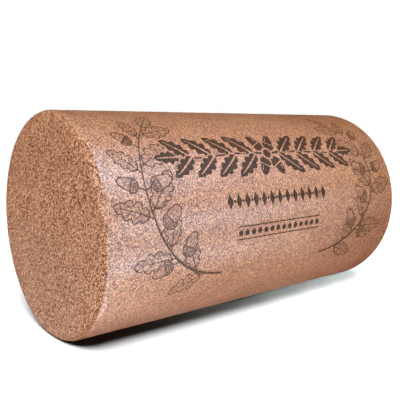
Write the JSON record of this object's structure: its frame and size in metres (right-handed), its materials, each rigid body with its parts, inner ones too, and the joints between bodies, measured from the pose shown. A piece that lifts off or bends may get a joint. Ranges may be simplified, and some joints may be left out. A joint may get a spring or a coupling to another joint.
{
  "type": "wine cork",
  "caption": "Straight cylindrical wine bottle stopper of fine agglomerated cork, with rounded rims at both ends.",
  "frame": {"origin": "centre of the bottom end face, on which the cork stands", "axes": "+Z along the cork's axis, from the bottom end to the top end; the printed panel on the side faces -Y"},
  "size_m": [0.024, 0.024, 0.045],
  "materials": {
    "agglomerated_cork": "fine speckled grain with a light wax sheen"
  },
  "bodies": {
    "root": {"cork": "agglomerated_cork"}
  },
  "joints": []
}
